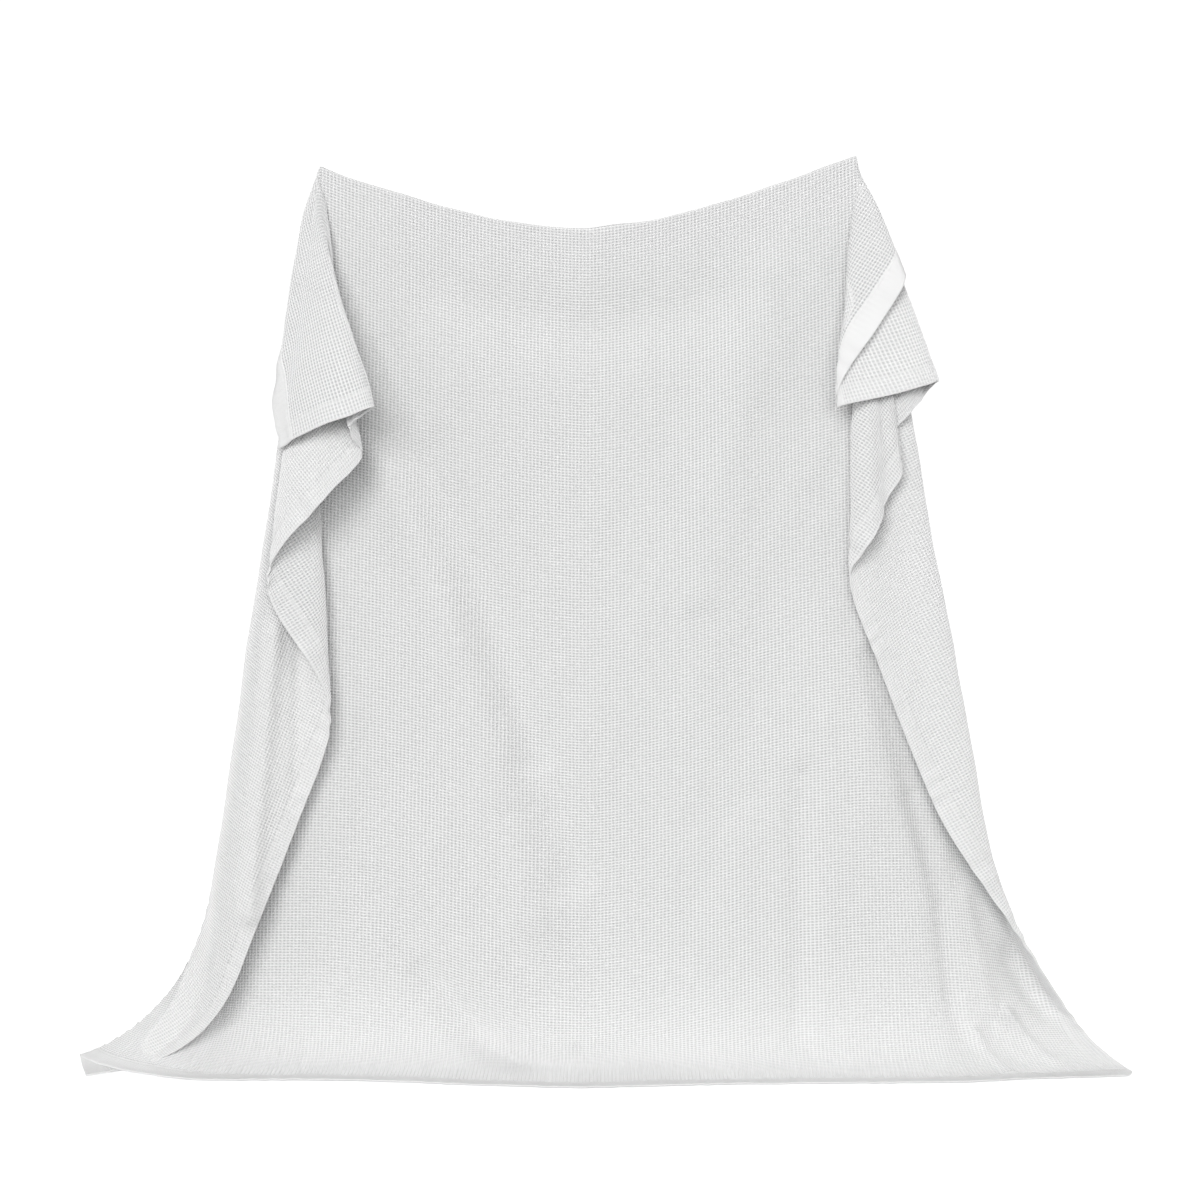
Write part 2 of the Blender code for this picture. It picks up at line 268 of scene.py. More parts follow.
# A side hem's columns from its edge inward: distance, half its thickness and the depth of its pits.
Turned = namedtuple("Turned", "distance half pit")
TURNED_COLUMNS = (
    Turned(0, 0.0003, 0),
    Turned(0.0010, 0.0016, 0.0002),
    Turned(0.0060, 0.0024, 0.0017),
    Turned(0.0135, 0.0024, 0.0019),
    Turned(0.0215, 0.0024, 0.0020),
    Turned(0.0295, 0.0024, 0.0020),
    Turned(0.0375, 0.0022, 0.0017),
    Turned(SIDE_STITCH_LINE, 0.0014, 0.0006),
    Turned(0.0432, 0.0015, 0.0014),
    Turned(SIDE_HEM, THICKNESS / 2, PIT_DEPTH),
)

# A stitch's two ends, two sides, top and foot: forward in half stitches, sideways and up in radii of
# its thread.
Corner = namedtuple("Corner", "forward sideways up")
STITCH_CORNERS = (
    Corner(-1, 0, 0.6),
    Corner(1, 0, 0.6),
    Corner(0, -1.2, 0.7),
    Corner(0, 1.2, 0.7),
    Corner(0, 0, 1.9),
    Corner(0, 0, -0.8),
)


def mount_place(name):
    """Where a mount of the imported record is."""
    return next(mount["pos_m"] for mount in frame["record"]["mounts"] if mount["name"] == name)


LEFT_HOLD = mount_place("hold_left")
RIGHT_HOLD = mount_place("hold_right")
FLOOR = mount_place("floor_rest")[2]
HOLD_SPAN = RIGHT_HOLD[0] - LEFT_HOLD[0]
LEFT_SAG = Sag(LEFT_HOLD[2], 1.6)
RIGHT_SAG = Sag(RIGHT_HOLD[2], 1.4)
LEFT = Wing(-1, LEFT_WING, LEFT_HOLD, LEFT_FOLDS, LEFT_FEET)
RIGHT = Wing(1, RIGHT_WING, RIGHT_HOLD, RIGHT_FOLDS, RIGHT_FEET)


# How the cloth hangs.


def rows_of(folds, column):
    """One column of a table, turned about both its ends so that creases stay centred there."""
    values = np.array([getattr(fold, column) for fold in folds], float)
    turns = np.array([fold.turn for fold in folds], float)
    before, after = 2 * values[0] - values[:0:-1], 2 * values[-1] - values[-2::-1]
    early, late = 2 * turns[0] - turns[:0:-1], 2 * turns[-1] - turns[-2::-1]
    return np.concatenate([early, turns, late]), np.concatenate([before, values, after])


def curve_through(turn, turns, values):
    """A smooth curve through a table's rows that never swings past them."""
    steps = np.diff(turns)
    rates = np.diff(values) / steps
    before, after = rates[:-1], rates[1:]
    onward = before * after > 0
    slopes = np.zeros_like(values)
    slopes[1:-1][onward] = 2 * before[onward] * after[onward] / (before + after)[onward]
    row = np.clip(np.searchsorted(turns, turn) - 1, 0, len(turns) - 2)
    share = (turn - turns[row]) / steps[row]
    rise = values[row + 1] - values[row]
    early, late = slopes[row] * steps[row], slopes[row + 1] * steps[row]
    return values[row] + share * (
        early + share * (3 * rise - 2 * early - late + share * (early + late - 2 * rise))
    )


def softened(folds, column, turn, reach):
    """A table's value at each turn, rounded over the width of a crease at that reach."""
    turns, values = rows_of(folds, column)
    width = np.degrees(CREASE_RADIUS / np.maximum(reach, NEAREST_REACH))
    width = np.clip(width, NARROWEST_CREASE, WIDEST_CREASE)
    steps = np.linspace(-1, 1, CREASE_SAMPLES)
    return sum(curve_through(turn + step * width, turns, values) for step in steps) / len(steps)


def stretched(length, share):
    """Length along a column that carries weight."""
    return length + STRETCH * share * np.minimum(length, STRETCHED_LENGTH)


def rolled(length):
    """How far cloth stands out from the top fold and drops below it, and what hangs straight."""
    turn = np.minimum(length / FOLD_RADIUS, pi / 2)
    out, drop = FOLD_RADIUS * np.sin(turn), FOLD_RADIUS * (1 - np.cos(turn))
    return out, drop, np.maximum(length - FOLD_RADIUS * pi / 2, 0)


def landed(start, way, reach, heading, sweep, lift):
    """Points along straight ways that turn softly onto the floor and run on along headings."""
    height = start[..., 2] - FLOOR - THICKNESS / 2 - lift
    past = reach + height / way[..., 2]
    turned = np.where(past > sweep, past, np.maximum(past + sweep, 0) ** 2 / (4 * sweep))
    run = np.stack([np.sin(heading), -np.cos(heading), 0 * heading], -1)
    return start + way * (reach - turned)[..., None] + run * turned[..., None]


def wing_point(wing, turn, reach):
    """A point of a wing, by its turn about the hold in degrees and its distance in the cloth."""
    side = wing.side
    turns = [foot.turn for foot in wing.feet]
    gained = np.clip((reach - FLARE_START) / FLARE_LENGTH, 0, 1) ** 3
    flare = np.interp(turn, turns, [foot.flare for foot in wing.feet]) * gained
    lean = np.radians(softened(wing.folds, "lean", turn, reach) + flare)
    depth = np.radians(softened(wing.folds, "depth", turn, reach))
    shoulder = softened(wing.folds, "shoulder", turn, reach)
    shoulder = shoulder * (1 - np.exp(-reach / SHOULDER_LENGTH))
    out, drop, straight = rolled(stretched(reach, 1))
    way = np.stack([side * np.tan(lean), -np.tan(depth), -np.ones_like(lean)], -1)
    way = way / np.linalg.norm(way, axis=-1, keepdims=True)
    start = np.array(wing.hold) + np.stack(
        [side * shoulder, -out * np.cos(np.radians(turn)), -drop], -1
    )
    heading = side * np.radians(np.interp(turn, turns, [foot.heading for foot in wing.feet]))
    sweep = np.interp(turn, turns, [foot.sweep for foot in wing.feet])
    lift = np.interp(turn, turns, [foot.lift for foot in wing.feet])
    return landed(start, way, straight, heading, sweep, lift)


def fold_height(across):
    """Height of the top fold, by the place across the middle from -1 to 1."""
    left = LEFT_SAG.rise * np.abs(across) ** LEFT_SAG.power
    right = RIGHT_SAG.rise * np.abs(across) ** RIGHT_SAG.power
    return np.where(across < 0, left, right)


def fold_at_hold(across, column, down):
    """A wing's value at its hold column, fading out or in toward the middle of the cloth."""
    front = [getattr(wing.folds[0], column) for wing in (LEFT, RIGHT)]
    back = [getattr(wing.folds[-1], column) for wing in (LEFT, RIGHT)]
    middle = MIDDLE_DEPTH if column == "depth" else 0
    front = middle + (np.where(across < 0, front[0], front[1]) - middle) * across**2 * (2 - across**2)
    return np.where(down < 0, back[0], front)


def trough_depth(across, down):
    """How far the soft troughs set the middle back, fading out at its edges and its fold. Where two
    of them meet, the deeper one counts."""
    deepest = highest = 0 * across
    for trough in TROUGHS:
        start = np.array([trough.across * PANEL_WIDTH / 2, trough.down])
        way = np.array([trough.to_across * PANEL_WIDTH / 2, trough.to_down]) - start
        x, y = across * PANEL_WIDTH / 2 - start[0], down - start[1]
        along = np.clip((x * way[0] + y * way[1]) / (way @ way), 0, 1)
        distance = np.hypot(x - along * way[0], y - along * way[1])
        set_back = trough.depth * np.exp(-((distance / trough.width) ** 2))
        deepest, highest = np.maximum(deepest, set_back), np.minimum(highest, set_back)
    belly = BELLY * np.sin(np.clip(down / FRONT_LENGTH, 0, 1) * pi) * (1 - across**2)
    fade = (1 - across**2) * np.clip(down / TROUGH_FADE, 0, 1)
    return (deepest + highest - belly) * fade


def panel_point(across, down):
    """A point of the middle: across from -1 to 1, and down the front from the top fold."""
    inward = (1 - np.abs(across)) * PANEL_WIDTH / 2
    share = np.maximum(1 - inward / STRETCHED_WIDTH, 0) ** 2
    out, drop, straight = rolled(stretched(np.abs(down), share))
    side = np.sign(down)
    folds = [fold_at_hold(across, column, down) for column in ("lean", "depth")]
    lean, depth = np.radians(folds[0]) * np.sign(across), np.radians(folds[1])
    way = np.stack([np.tan(lean), -np.tan(depth), -np.ones_like(lean)], -1)
    way = way / np.linalg.norm(way, axis=-1, keepdims=True)
    out = trough_depth(across, down) - out * side
    start = np.stack([across * HOLD_SPAN / 2, out, fold_height(across) - drop], -1)
    sweep = PANEL_SWEEP + (HOLD_SWEEP - PANEL_SWEEP) * share
    return landed(start, way, straight, 0 * across, sweep, 0)


def hung(across, down):
    """Where places of the flat cloth hang."""
    below = down - BACK_FLAP
    points = np.empty(np.shape(across) + (3,))
    middle = np.ones(np.shape(across), bool)
    for wing, out in ((LEFT, LEFT_WING - across), (RIGHT, across - (WIDTH - RIGHT_WING))):
        there = out > 0
        middle &= ~there
        turn = np.degrees(np.arctan2(out[there], below[there]))
        points[there] = wing_point(wing, turn, np.hypot(out[there], below[there]))
    share = 2 * (across[middle] - LEFT_WING) / PANEL_WIDTH - 1
    points[middle] = panel_point(share, below[middle])
    return points


def from_line(x, y, line):
    """How far places are from a crease's line."""
    start, way = (line.across, line.down), (line.to_across - line.across, line.to_down - line.down)
    along = ((x - start[0]) * way[0] + (y - start[1]) * way[1]) / (way[0] ** 2 + way[1] ** 2)
    along = np.clip(along, 0, 1)
    return np.hypot(x - start[0] - along * way[0], y - start[1] - along * way[1])


def hem_waves(along, from_edge, stitch_line):
    """Puckers beside a hem's stitches and slower waves of its edge."""
    drift = sum(wave.share * np.sin(2 * pi * along / wave.pitch) for wave in DRIFTS)
    near = np.exp(-(((from_edge - stitch_line) / PUCKER_WIDTH) ** 2))
    pucker = PUCKER_HEIGHT * near * np.sin(2 * pi * (along / PUCKER_PITCH + drift))
    edge = EDGE_WAVE_HEIGHT * np.exp(-((from_edge / EDGE_WAVE_WIDTH) ** 2))
    return pucker + edge * np.sin(2 * pi * (along / EDGE_WAVE + drift))


def unevenness(across, down, height):
    """How far the cloth stands proud of its smooth shape."""
    deepest = highest = 0 * across
    for line in CREASES:
        set_back = line.depth * np.exp(-((from_line(across, down, line) / line.width) ** 2))
        deepest, highest = np.maximum(deepest, set_back), np.minimum(highest, set_back)
    total = -deepest - highest
    for wave in RUMPLES:
        total = total + wave.height * np.sin(
            2 * pi * (across / wave.across + down / wave.down) + wave.start
        )
    total = total + hem_waves(down, across, SIDE_STITCH_LINE)
    total = total + hem_waves(down + RIGHT_HEM_START, WIDTH - across, SIDE_STITCH_LINE)
    total = total + hem_waves(across, down, STITCH_LINE)
    total = total + hem_waves(across + BOTTOM_HEM_START, LENGTH - down, STITCH_LINE)
    total = total * np.clip(height / RUMPLE_FADE, FLOOR_RUMPLE, 1)
    return total + EDGE_LIFT * np.exp(-(((LENGTH - down) / EDGE_LIFT_WIDTH) ** 2))


def cloth(across, down):
    """The middle of the cloth at places of it, and the way out of its face, which is what the viewer
    sees between the holds."""
    across, down = np.broadcast_arrays(across, down)
    points = hung(across, down)
    along = hung(across + NORMAL_STEP, down) - hung(across - NORMAL_STEP, down)
    fall = hung(across, down + NORMAL_STEP) - hung(across, down - NORMAL_STEP)
    out = np.cross(fall, along)
    out = out / np.maximum(np.linalg.norm(out, axis=-1, keepdims=True), 1e-9)
    proud = unevenness(across, down, points[..., 2] - FLOOR)
    return points + out * proud[..., None], out


def raised(place, amount):
    """Points of the cloth set off from its middle, and none below the floor."""
    points, out = place
    points = points + out * np.asarray(amount)[..., None]
    points[..., 2] = np.maximum(points[..., 2], FLOOR)
    return points


# Pieces.


def made_piece(name, points, faces, places, smooth, marks=None):
    """An object from its corners and faces, with the flat cloth as its UV map, in metres, and named
    values of its corners for its finish."""
    mesh = bpy.data.meshes.new(name)
    mesh.from_pydata(points, [], faces)
    corners = np.empty(len(mesh.loops), int)
    mesh.loops.foreach_get("vertex_index", corners)
    mesh.uv_layers.new(name="cloth").uv.foreach_set("vector", places[corners].ravel())
    for mark, values in (marks or {}).items():
        mesh.attributes.new(mark, "FLOAT", "POINT").data.foreach_set("value", values)
    mesh.polygons.foreach_set("use_smooth", np.full(len(mesh.polygons), smooth))
    mesh.update()
    piece = bpy.data.objects.new(name, mesh)
    bpy.context.scene.collection.objects.link(piece)
    return piece


def stacked(groups):
    """Numbers of the corners of each group, counted on from group to group."""
    found, first = [], 0
    for group in groups:
        shape = np.shape(group)[:-1]
        count = int(np.prod(shape))
        found.append(first + np.arange(count).reshape(shape))
        first += count
    return found


def around(grid):
    """The numbers of a grid's rim, down its left side, then across, up and back."""
    return np.concatenate([grid[0, :-1], grid[:-1, -1], grid[-1, :0:-1], grid[:0:-1, 0]])


def middles(values):
    return (values[1:] + values[:-1]) / 2


def waffle_piece(name, across, down, half, pit):
    """A closed sheet of waffle cells with borders at across and down. On its face the ridges follow
    the borders, and on its back they join the middles of the cells. half and pit give the half
    thickness and the depth of the pits for each place across."""
    corner_places = np.meshgrid(across, down, indexing="ij")
    middle_places = np.meshgrid(middles(across), middles(down), indexing="ij")
    rim_places = [middle_of_rim(values) for values in corner_places]
    corners, centres, rim = cloth(*corner_places), cloth(*middle_places), cloth(*rim_places)
    kinds = (corner_places, middle_places, rim_places)
    half_at = [half(places[0]) for places in kinds]
    pit_at = [pit(places[0]) * unpressed(places[1]) for places in kinds]
    groups = [
        raised(corners, half_at[0]),
        raised(centres, half_at[1] - pit_at[1]),
        raised(corners, pit_at[0] - half_at[0]),
        raised(centres, -half_at[1]),
        raised(rim, -half_at[2]),
    ]
    face_corner, face_centre, back_corner, back_centre, back_rim = stacked(groups)
    faces = np.concatenate([
        face_triangles(face_corner, face_centre),
        back_triangles(back_corner, back_centre),
        rim_triangles(face_corner, back_corner, back_centre, back_rim),
    ])
    order = (0, 1, 0, 1, 2)
    sides = (0, 0, 1, 1, 1)
    places = np.concatenate([np.stack(kinds[kind], -1).reshape(-1, 2) for kind in order])
    relief = [pit_at[kind].ravel() / PIT_DEPTH for kind in order]
    backs = [np.full(depth.size, side, float) for depth, side in zip(relief, sides)]
    marks = {"relief": np.concatenate(relief), "back": np.concatenate(backs)}
    points = np.concatenate([group.reshape(-1, 3) for group in groups])
    return made_piece(name, points, faces, places, False, marks)


def unpressed(down):
    """The share of the waffle's depth that isn't pressed out, by the place down the cloth."""
    return np.interp(LENGTH - down, [PRESSED_TO, PRESSED_FROM], [PRESSED_SHARE, 1])


def middle_of_rim(values):
    """Values half way along each step of a grid's rim."""
    rim = around(values)
    return (rim + np.roll(rim, -1)) / 2


def face_triangles(corner, centre):
    """Four for each cell, round its middle."""
    left_top, right_top = corner[:-1, :-1], corner[1:, :-1]
    left_low, right_low = corner[:-1, 1:], corner[1:, 1:]
    sides = ((left_top, left_low), (left_low, right_low), (right_low, right_top), (right_top, left_top))
    return np.concatenate([np.stack([a, b, centre], -1).reshape(-1, 3) for a, b in sides])


def back_triangles(corner, centre):
    """Two for each inner side of a cell, parted by the line between the middles beside it."""
    above, below = centre[:, :-1], centre[:, 1:]
    left, right = centre[:-1, :], centre[1:, :]
    triangles = (
        (corner[:-1, 1:-1], above, below),
        (corner[1:, 1:-1], below, above),
        (corner[1:-1, :-1], right, left),
        (corner[1:-1, 1:], left, right),
    )
    return np.concatenate([np.stack(triangle, -1).reshape(-1, 3) for triangle in triangles])


def rim_triangles(face_corner, back_corner, back_centre, back_rim):
    """The outermost half cells of the back, and the rim that joins it to the face."""
    face, back = around(face_corner), around(back_corner)
    next_face, next_back = np.roll(face, -1), np.roll(back, -1)
    inside = np.concatenate([
        back_centre[0, :],
        back_centre[:, -1],
        back_centre[-1, ::-1],
        back_centre[::-1, 0],
    ])
    triangles = (
        (back, inside, back_rim),
        (next_back, back_rim, inside),
        (face, back, back_rim),
        (face, back_rim, next_face),
        (next_face, back_rim, next_back),
    )
    return np.concatenate([np.stack(triangle, -1) for triangle in triangles])


def everywhere(value):
    return lambda place: np.full(np.shape(place), value)


def field_pieces():
    """The waffle field between the hems, in strips."""
    across = np.linspace(SIDE_HEM, WIDTH - SIDE_HEM, CELL_COLUMNS + 1)
    down = np.linspace(END_HEM, LENGTH - END_HEM, CELL_ROWS + 1)
    each = CELL_COLUMNS // FIELD_PIECES
    pieces = []
    for number in range(FIELD_PIECES):
        strip = across[number * each : (number + 1) * each + 1]
        name = f"waffle_field_{number + 1}"
        pieces.append(waffle_piece(name, strip, down, everywhere(THICKNESS / 2), everywhere(PIT_DEPTH)))
    return pieces


def side_hem(name, edge, inward):
    """Turned waffle along a side, flatter than the field, thick at its edge and drawn in at its
    stitches."""
    distances = [column.distance for column in TURNED_COLUMNS]

    def by_distance(values):
        return lambda place: np.interp((place - edge) * inward, distances, values)

    across = np.sort(edge + inward * np.array(distances))
    down = np.linspace(END_HEM, LENGTH - END_HEM, CELL_ROWS + 1)
    half = by_distance([column.half for column in TURNED_COLUMNS])
    pit = by_distance([column.pit for column in TURNED_COLUMNS])
    return waffle_piece(name, across, down, half, pit)


def end_hem(name, edge, inward):
    """A plain band along an end of the cloth, rounded at its edge and drawn in at its stitches."""
    *tip, full = [place.distance for place in BAND_ENDS]
    middle = np.linspace(full, WIDTH - full, round(WIDTH / BAND_STEP))
    across = np.concatenate([tip, middle, WIDTH - np.array(tip[::-1])])
    ends = np.interp(across, [*tip, full], [place.share for place in BAND_ENDS])
    ends = np.minimum(ends, ends[::-1])
    distance = np.array([section.distance for section in BAND_SECTIONS])
    half = np.array([section.half for section in BAND_SECTIONS])
    place = np.meshgrid(across, edge + inward * distance, indexing="ij")
    band = cloth(*place)
    half = half[None, :] * ends[:, None]
    face, back = raised(band, half), raised(band, -half)
    ring = np.concatenate([face, back[:, ::-1]], 1)
    number = np.arange(ring[..., 0].size).reshape(ring.shape[:2])
    turned = np.roll(number, -1, 1)
    sides = np.stack([number[:-1], turned[:-1], turned[1:], number[1:]], -1).reshape(-1, 4)
    columns = len(distance)
    caps = []
    for row, order in ((number[0], 1), (number[-1], -1)):
        front, rear = row[:columns], row[:columns - 1:-1]
        quads = np.stack([front[:-1], rear[:-1], rear[1:], front[1:]], -1)
        caps.append(quads[:, ::order])
    places = np.concatenate([np.stack(place, -1), np.stack(place, -1)[:, ::-1]], 1).reshape(-1, 2)
    faces = np.concatenate([sides, *caps])
    piece = made_piece(name, ring.reshape(-1, 3), faces, places, True)
    turned_out(piece)
    return piece


def turned_out(piece):
    """Turns every face of a closed piece outward."""
    mesh = bmesh.new()
    mesh.from_mesh(piece.data)
    bmesh.ops.recalc_face_normals(mesh, faces=mesh.faces)
    mesh.to_mesh(piece.data)
    mesh.free()


def stitch_row(start, stop, line, lengthwise):
    """Stitches along a line, as the places of their corners and how far these stand off the middle
    of the cloth, for one side of the cloth and then the other."""
    count = int((stop - start) / STITCH_PITCH)
    along = start + (np.arange(count) + 0.5) * (stop - start) / count
    groups = []
    for side in (1, -1):
        corners = []
        for corner in STITCH_CORNERS:
            at = along + corner.forward * STITCH_LENGTH / 2
            off = np.full_like(at, line + corner.sideways * THREAD_RADIUS)
            place = (off, at) if lengthwise else (at, off)
            corners.append((place, side * (STITCH_SEAT + corner.up * THREAD_RADIUS)))
        groups.append(corners)
    return groups


def stitches():
    """The stitches of all four hems, each a short spindle of thread."""
    rows = [
        stitch_row(STITCH_MARGIN, WIDTH - STITCH_MARGIN, STITCH_LINE, False),
        stitch_row(STITCH_MARGIN, WIDTH - STITCH_MARGIN, LENGTH - STITCH_LINE, False),
        stitch_row(END_HEM, LENGTH - END_HEM, SIDE_STITCH_LINE, True),
        stitch_row(END_HEM, LENGTH - END_HEM, WIDTH - SIDE_STITCH_LINE, True),
    ]
    ring = ((2, 4), (4, 3), (3, 5), (5, 2))
    spindle = np.array([(0, a, b) for a, b in ring] + [(1, b, a) for a, b in ring])
    points, faces, places, first = [], [], [], 0
    for corners in (group for row in rows for group in row):
        placed = [raised(cloth(*place), np.full(len(place[0]), height)) for place, height in corners]
        flat = [np.stack(place, -1) for place, _ in corners]
        numbers = first + len(corners) * np.arange(len(placed[0]))
        points.append(np.stack(placed, 1).reshape(-1, 3))
        places.append(np.stack(flat, 1).reshape(-1, 2))
        faces.append((numbers[:, None, None] + spindle[None]).reshape(-1, 3))
        first += len(corners) * len(placed[0])
    points, faces, places = [np.concatenate(group) for group in (points, faces, places)]
    piece = made_piece("hem_stitches", points, faces, places, True)
    turned_out(piece)
    return piece


# Finishes.


class Shade:
    """A value or colour among a finish's nodes, so that arithmetic on it adds more of them."""

    def __init__(self, finish, socket):
        self.finish, self.socket = finish, socket

    def __add__(self, other):
        return self.finish.sum_of("ADD", self, other)

    __radd__ = __add__

    def __sub__(self, other):
        return self.finish.sum_of("SUBTRACT", self, other)

    def __rsub__(self, other):
        return self.finish.sum_of("SUBTRACT", other, self)

    def __mul__(self, other):
        return self.finish.sum_of("MULTIPLY", self, other)

    __rmul__ = __mul__

    def __mod__(self, other):
        return self.finish.sum_of("FLOORED_MODULO", self, other)

    def __pow__(self, other):
        return self.finish.sum_of("POWER", self, other)

    def __abs__(self):
        return self.finish.sum_of("ABSOLUTE", self, 0.0)


class Finish:
    """A material's or the studio's nodes, and the ways they are added."""

    def __init__(self, owner, shader="Principled BSDF"):
        owner.use_nodes = True
        self.owner = owner
        self.tree = owner.node_tree
        self.shader = self.tree.nodes[shader]

    def node(self, kind, settings=None, sockets=None, output=0):
        """Adds a node: its settings first, then the values or links of its sockets."""
        node = self.tree.nodes.new(kind)
        for key, value in (settings or {}).items():
            setattr(node, key, value)
        for key, value in (sockets or {}).items():
            self.put(node.inputs[key], value)
        return Shade(self, node.outputs[output])

    def put(self, socket, value):
        if isinstance(value, Shade):
            self.tree.links.new(value.socket, socket)
        else:
            socket.default_value = value

    def sum_of(self, operation, first, second):
        return self.node("ShaderNodeMath", {"operation": operation}, {0: first, 1: second})

    def part_of(self, place, axis):
        """One of a place's three coordinates."""
        return self.node("ShaderNodeSeparateXYZ", {}, {0: place}, axis)

    def mixed(self, share, first, second):
        """A colour between two others."""
        return self.node("ShaderNodeMix", {"data_type": "RGBA"}, {0: share, 6: first, 7: second}, 2)

    def surface(self, **sockets):
        for key, value in sockets.items():
            self.put(self.shader.inputs[key.replace("_", " ")], value)


RIDGE_WHITE = (0.970, 0.970, 0.968, 1)
# Painted shade in the pits of the waffle, lighter on the back of the cloth.
PIT_PAINTED_SHADE = (0.510, 0.511, 0.517, 1)
BACK_PIT_PAINTED_SHADE = (0.600, 0.600, 0.604, 1)
HEM_WHITE = (0.830, 0.830, 0.829, 1)
BAND_WHITE = (0.930, 0.930, 0.928, 1)
SOFT_SHADE = (0.790, 0.790, 0.790, 1)
THREAD_WHITE = (0.930, 0.930, 0.927, 1)
CELL_WIDTH = (WIDTH - 2 * SIDE_HEM) / CELL_COLUMNS
CELL_HEIGHT = (LENGTH - 2 * END_HEM) / CELL_ROWS
RIDGE_SHARPNESS = 1.6
COLUMN_SHARE = 0.7  # how bright the ridges down the cloth are, next to those across it: partly the weave, partly painted top light
YARN_PITCH = 0.0011  # of the waffle's cotton yarn
YARN_HEIGHT = 0.00015
BAND_YARN_PITCH = 0.0007
BAND_YARN_HEIGHT = 0.00010
LINT_SIZE = 0.0009
MOTTLE_SIZE = 0.12


def flat_cloth(finish):
    """The place on the flat cloth, in metres."""
    return finish.node("ShaderNodeUVMap", {"uv_map": "cloth"})


def mark(finish, name):
    """A value that the piece's corners carry."""
    return finish.node("ShaderNodeAttribute", {"attribute_name": name}, output=2)


def mottle(finish, place):
    """Soft differences in tone over the cloth, from 0 to 1."""
    return finish.node(
        "ShaderNodeTexNoise",
        {"noise_dimensions": "2D"},
        {"Vector": place, "Scale": 1 / MOTTLE_SIZE, "Detail": 3.0, "Roughness": 0.6},
    )


def lint(finish, place):
    """Loose fibres, finer than a yarn."""
    return finish.node(
        "ShaderNodeTexNoise",
        {"noise_dimensions": "2D"},
        {"Vector": place, "Scale": 1 / LINT_SIZE, "Detail": 2.0, "Roughness": 0.6},
    )


def yarns(finish, place, direction, pitch):
    """Yarns that lie side by side, one every pitch."""
    return finish.node(
        "ShaderNodeTexWave",
        {"wave_type": "BANDS", "bands_direction": direction, "wave_profile": "SIN"},
        {"Vector": place, "Scale": 2 * pi / (20 * pitch), "Distortion": 0.6, "Detail": 1.0},
    )


def bumped(finish, height, depth):
    return finish.node("ShaderNodeBump", {}, {"Strength": 1.0, "Distance": depth, "Height": height})


def ridge(place, pitch, back):
    """1 on ridges that lie one cell apart, falling to 0 between them. On the back they lie half a
    cell further on."""
    cell = (place * (1 / pitch) + back * 0.5) % 1.0
    return abs(cell * 2.0 - 1.0) ** RIDGE_SHARPNESS


def waffle_cotton():
    """White cotton in waffle weave, with painted shade in the pits between its ridges, lighter on the
    back.
    The ridges across the cloth are brighter than those down it, partly the weave and partly painted top
    light."""
    finish = Finish(bpy.data.materials.new("white_cotton_waffle"))
    place = flat_cloth(finish)
    across, down = finish.part_of(place, 0), finish.part_of(place, 1)
    relief, back = mark(finish, "relief"), mark(finish, "back")
    rows = ridge(down - END_HEM, CELL_HEIGHT, back)
    columns = ridge(across - SIDE_HEM, CELL_WIDTH, back)
    # 1 on the ridges, falling to 0 in the pits, where shade is painted. The ridges down the cloth stay
    # partly shaded, so those across it look lit from above: partly the weave, partly painted top light.
    clear_of_painted_shade = rows + (1.0 - rows) * columns * COLUMN_SHARE
    tone = mottle(finish, place)
    fibre = lint(finish, place)
    # Painted shade for the pits, lighter on the back of the cloth.
    pits = finish.mixed(back, PIT_PAINTED_SHADE, BACK_PIT_PAINTED_SHADE)
    weave = finish.mixed(clear_of_painted_shade, pits, RIDGE_WHITE)
    # The painted shade in the pits goes with their depth: none where the cloth is flat, less where the
    # waffle is pressed flatter.
    colour = finish.mixed(relief, HEM_WHITE, weave)
    colour = finish.mixed(tone * 0.14 + fibre * 0.10, colour, SOFT_SHADE)
    yarn = (
        yarns(finish, place, "Y", YARN_PITCH) * rows
        + yarns(finish, place, "X", YARN_PITCH) * (1.0 - rows)
        + fibre
    )
    finish.surface(
        Base_Color=colour,
        Roughness=fibre * 0.10 + 0.86,
        Normal=bumped(finish, yarn, YARN_HEIGHT),
        Sheen_Weight=0.15,
        Sheen_Roughness=0.5,
        Specular_IOR_Level=0.25,
    )
    return finish.owner


def plain_cotton():
    """The same cotton in a close plain weave, for the end hems."""
    finish = Finish(bpy.data.materials.new("white_cotton_plain_weave"))
    place = flat_cloth(finish)
    tone = mottle(finish, place)
    fibre = lint(finish, place)
    colour = finish.mixed(tone * 0.3 + fibre * 0.2, BAND_WHITE, SOFT_SHADE)
    warp, weft = [yarns(finish, place, way, BAND_YARN_PITCH) for way in ("X", "Y")]
    weave = warp + weft + fibre
    finish.surface(
        Base_Color=colour,
        Roughness=fibre * 0.10 + 0.84,
        Normal=bumped(finish, weave, BAND_YARN_HEIGHT),
        Sheen_Weight=0.12,
        Sheen_Roughness=0.5,
        Specular_IOR_Level=0.25,
    )
    return finish.owner


def sewing_thread():
    """White sewing thread, a little smoother than the cloth."""
    finish = Finish(bpy.data.materials.new("white_sewing_thread"))
    place = flat_cloth(finish)
    fibre = lint(finish, place)
    finish.surface(
        Base_Color=finish.mixed(fibre, THREAD_WHITE, SOFT_SHADE),
        Roughness=fibre * 0.15 + 0.6,
        Specular_IOR_Level=0.35,
    )
    return finish.owner


